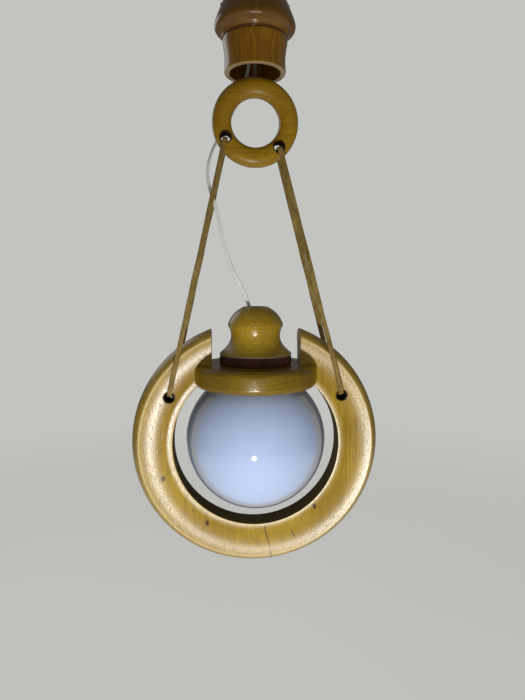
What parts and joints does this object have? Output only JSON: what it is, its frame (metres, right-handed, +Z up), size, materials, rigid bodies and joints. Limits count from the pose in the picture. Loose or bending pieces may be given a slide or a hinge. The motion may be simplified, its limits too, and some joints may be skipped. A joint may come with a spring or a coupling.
{
  "type": "pendant lamp",
  "caption": "Ceiling pendant lamp: opal glass globe under a turned disc, inside a dished wooden ring hung by leather thongs from a small ring below a ceiling cup.",
  "frame": {"origin": "centre of the ceiling bracket's top face, which lies on the ceiling", "axes": "+Z up into the ceiling, the dished front face of the big ring looks along -Y, +X to the right"},
  "size_m": [0.284, 0.1598, 0.6235],
  "materials": {
    "zinc_steel": "zinc plated, satin",
    "dark_wood": "turned, dark amber varnish, gloss",
    "brass": "worn brass",
    "cream_plastic": "moulded",
    "amber_wood": "turned, amber varnish, satin",
    "white_flex": "soft PVC",
    "tan_leather": "raw cut lace",
    "ring_wood": "turned, golden varnish, satin",
    "olive_wood": "turned, amber varnish, satin",
    "pale_wood": "bare beech",
    "brown_moulding": "dark brown moulding",
    "cup_wood": "turned, amber varnish, satin",
    "white_ceramic": "glazed",
    "bulb_metal": "rolled thread",
    "bulb_frost": "frosted",
    "black_rubber": "flat ring",
    "opal_glass": "opal white, gloss"
  },
  "bodies": {
    "ceiling": {"ceiling_bracket": "zinc_steel", "ceiling_hook": "zinc_steel", "hook_nut": "zinc_steel", "ceiling_cup": "dark_wood", "cup_screws": "brass", "terminal_block": "cream_plastic", "terminal_inserts": "brass", "terminal_screws": "zinc_steel"},
    "link": {"hanging_link": "zinc_steel"},
    "hanger": {"ring_eye": "zinc_steel", "hanging_ring": "amber_wood", "flex": "white_flex"},
    "lamp": {"left_thong": "tan_leather", "right_thong": "tan_leather", "big_ring": "ring_wood", "turned_disc": "olive_wood", "disc_dowels": "pale_wood", "gallery": "brown_moulding", "gallery_nut": "brown_moulding", "nipple": "brass", "nipple_washer": "zinc_steel", "nipple_nut": "brass", "cable_grip": "cream_plastic", "holder_cap": "brown_moulding", "holder_body": "brown_moulding", "holder_insert": "white_ceramic", "holder_thread": "brass", "holder_contacts": "brass", "bulb_cap": "bulb_metal", "bulb_glass": "bulb_frost"},
    "cup": {"lower_cup": "cup_wood"},
    "gasket": {"neck_gasket": "black_rubber"},
    "globe": {"globe": "opal_glass"}
  },
  "joints": [
    {"name": "hook_swing", "type": "hinge", "parent": "ceiling", "child": "link", "pos_m": [0, 0, -0.034], "axis": [1, 0, 0], "range_deg": [-12, 12]},
    {"name": "link_swing", "type": "hinge", "parent": "link", "child": "hanger", "pos_m": [0, 0, -0.04835], "axis": [0, 1, 0], "range_deg": [-12, 12]},
    {"name": "thong_sway", "type": "hinge", "parent": "hanger", "child": "lamp", "pos_m": [-0.00344, 0, -0.1467], "axis": [0.9877, 0, -0.1564], "range_deg": [-10, 10], "deforming": ["flex"]},
    {"name": "cup_lift", "type": "slide", "parent": "lamp", "child": "cup", "axis": [0, 0, 1], "range_m": [0, 0.008]},
    {"name": "globe_drop", "type": "slide", "parent": "lamp", "child": "gasket", "axis": [0, 0, -1], "range_m": [0, 0.009]},
    {"name": "globe_turn", "type": "hinge", "parent": "gasket", "child": "globe", "pos_m": [0, 0, -0.476], "axis": [0, 0, -1], "range_deg": [0, 540]}
  ],
  "couplings": [
    {"joint": "globe_drop", "follows": "globe_turn", "m_per_rad": 0.00095493}
  ]
}
